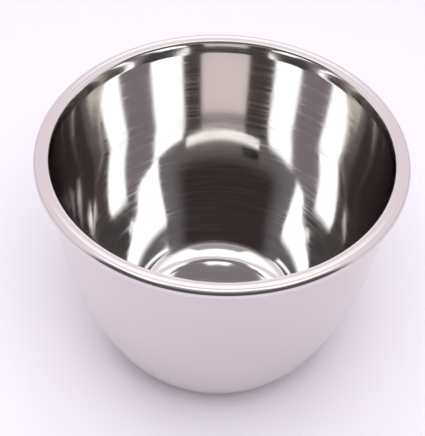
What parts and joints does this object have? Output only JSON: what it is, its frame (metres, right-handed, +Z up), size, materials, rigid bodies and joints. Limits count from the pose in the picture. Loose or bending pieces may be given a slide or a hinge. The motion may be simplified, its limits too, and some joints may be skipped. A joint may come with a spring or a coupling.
{
  "type": "shaving bowl",
  "caption": "Deep round steel shaving bowl with a double wall, a rolled rim and a flat bottom, for whipping lather with a brush.",
  "frame": {"origin": "centre of the ring that the bowl stands on, at the bottom of the bowl", "axes": "+Z up along the bowl's axis of revolution; X and Y are any two level directions"},
  "size_m": [0.11, 0.11, 0.0795],
  "materials": {
    "polished_steel": "mirror-polished stainless steel with fine polishing marks",
    "satin_steel": "satin stainless steel"
  },
  "bodies": {
    "root": {"inner_bowl": "polished_steel", "outer_shell": "satin_steel"}
  },
  "joints": []
}
